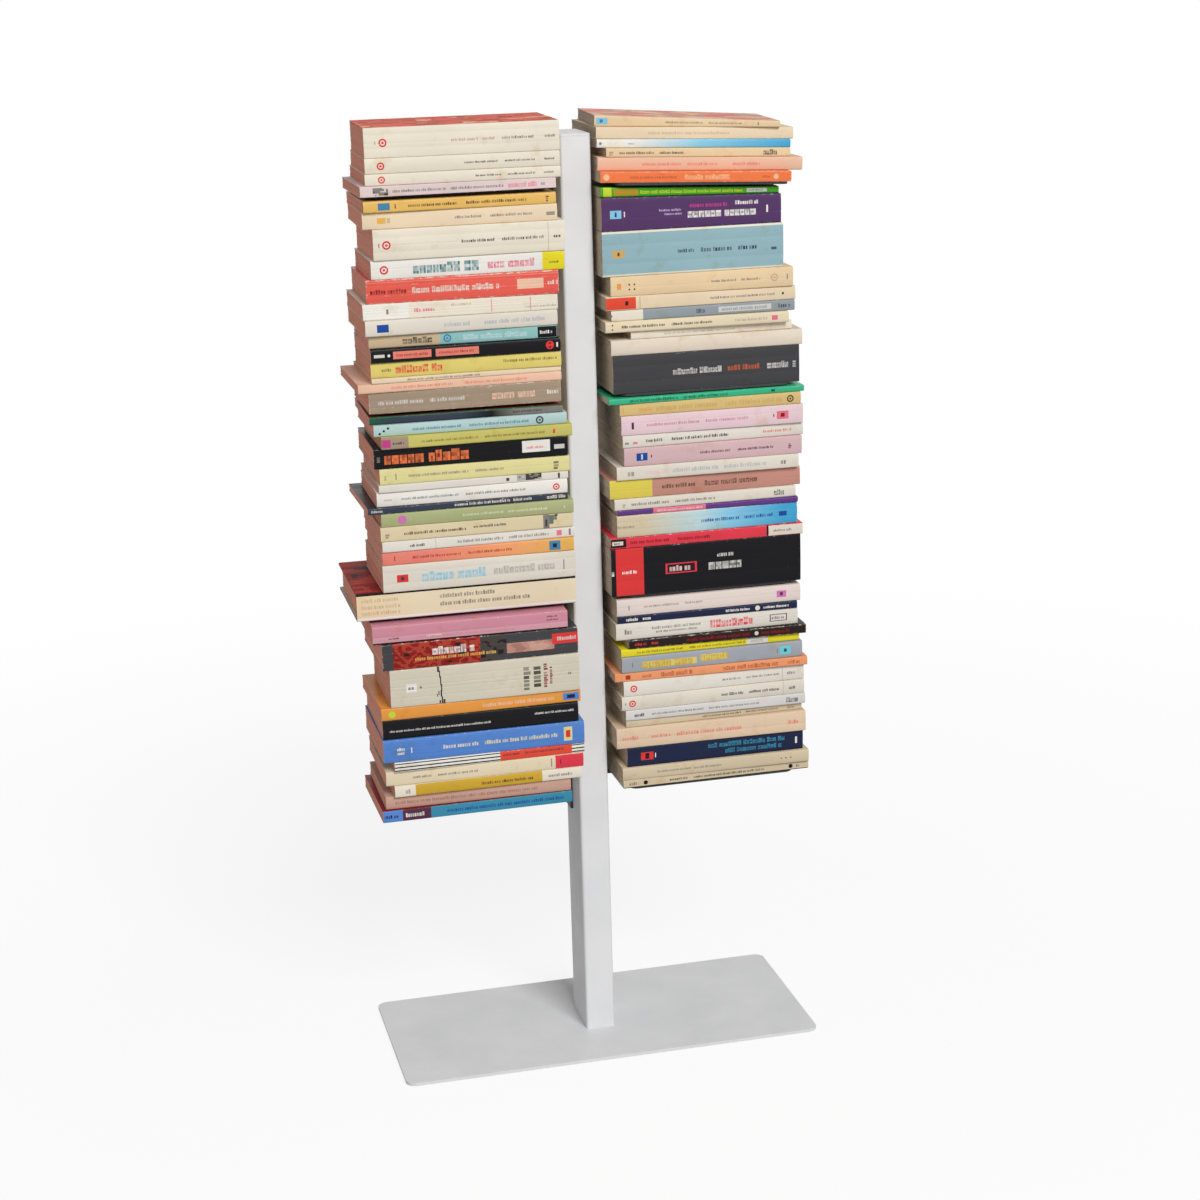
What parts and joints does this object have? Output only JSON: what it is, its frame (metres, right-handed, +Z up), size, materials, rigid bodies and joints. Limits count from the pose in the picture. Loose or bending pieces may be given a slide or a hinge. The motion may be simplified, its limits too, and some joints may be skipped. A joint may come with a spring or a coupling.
{
  "type": "spine bookshelf",
  "caption": "Free-standing steel column on a thin foot plate, with small hidden cantilever shelves that carry flat stacks of paperbacks on both sides.",
  "frame": {"origin": "on the floor, under the middle of the column", "axes": "+Z up along the column, +X to the right seen from the front, the front faces -Y"},
  "size_m": [0.4555, 0.195, 0.935],
  "materials": {
    "powder_coat": "satin light grey powder coat",
    "fixings": "zinc-plated",
    "floor_pads": "matte",
    "books": "worn printed paperback covers in many colours over aged page edges"
  },
  "bodies": {
    "stand": {"back_screw_1": "fixings", "back_screw_2": "fixings", "base_plate": "powder_coat", "base_screw_1": "fixings", "base_screw_2": "fixings", "base_screw_3": "fixings", "base_screw_4": "fixings", "column": "powder_coat", "column_cap": "powder_coat", "floor_pad_1": "floor_pads", "floor_pad_2": "floor_pads", "floor_pad_3": "floor_pads", "floor_pad_4": "floor_pads", "floor_pad_centre": "floor_pads", "foot_block": "fixings", "shelf_left_1": "powder_coat", "shelf_left_2": "powder_coat", "shelf_left_3": "powder_coat", "shelf_left_4": "powder_coat", "shelf_right_1": "powder_coat", "shelf_right_2": "powder_coat", "shelf_right_3": "powder_coat", "shelf_right_4": "powder_coat", "shelf_screw_left_1_1": "fixings", "shelf_screw_left_1_2": "fixings", "shelf_screw_left_2_1": "fixings", "shelf_screw_left_2_2": "fixings", "shelf_screw_left_3_1": "fixings", "shelf_screw_left_3_2": "fixings", "shelf_screw_left_4_1": "fixings", "shelf_screw_left_4_2": "fixings", "shelf_screw_right_1_1": "fixings", "shelf_screw_right_1_2": "fixings", "shelf_screw_right_2_1": "fixings", "shelf_screw_right_2_2": "fixings", "shelf_screw_right_3_1": "fixings", "shelf_screw_right_3_2": "fixings", "shelf_screw_right_4_1": "fixings", "shelf_screw_right_4_2": "fixings", "sleeve_1_1": "fixings", "sleeve_1_2": "fixings", "sleeve_2_1": "fixings", "sleeve_2_2": "fixings", "sleeve_3_1": "fixings", "sleeve_3_2": "fixings", "sleeve_4_1": "fixings", "sleeve_4_2": "fixings"},
    "books_left_1": {"books_left_1": "books"},
    "books_left_2": {"books_left_2": "books"},
    "books_left_3": {"books_left_3": "books"},
    "books_left_4": {"books_left_4": "books"},
    "books_right_1": {"books_right_1": "books"},
    "books_right_2": {"books_right_2": "books"},
    "books_right_3": {"books_right_3": "books"},
    "books_right_4": {"books_right_4": "books"}
  },
  "joints": [
    {"name": "books_left_1_pull", "type": "slide", "parent": "stand", "child": "books_left_1", "axis": [0, -1, 0], "range_m": [0, 0.14]},
    {"name": "books_left_2_pull", "type": "slide", "parent": "stand", "child": "books_left_2", "axis": [0, -1, 0], "range_m": [0, 0.14]},
    {"name": "books_left_3_pull", "type": "slide", "parent": "stand", "child": "books_left_3", "axis": [0, -1, 0], "range_m": [0, 0.14]},
    {"name": "books_left_4_pull", "type": "slide", "parent": "stand", "child": "books_left_4", "axis": [0, -1, 0], "range_m": [0, 0.14]},
    {"name": "books_right_1_pull", "type": "slide", "parent": "stand", "child": "books_right_1", "axis": [0, -1, 0], "range_m": [0, 0.14]},
    {"name": "books_right_2_pull", "type": "slide", "parent": "stand", "child": "books_right_2", "axis": [0, -1, 0], "range_m": [0, 0.14]},
    {"name": "books_right_3_pull", "type": "slide", "parent": "stand", "child": "books_right_3", "axis": [0, -1, 0], "range_m": [0, 0.14]},
    {"name": "books_right_4_pull", "type": "slide", "parent": "stand", "child": "books_right_4", "axis": [0, -1, 0], "range_m": [0, 0.14]}
  ]
}
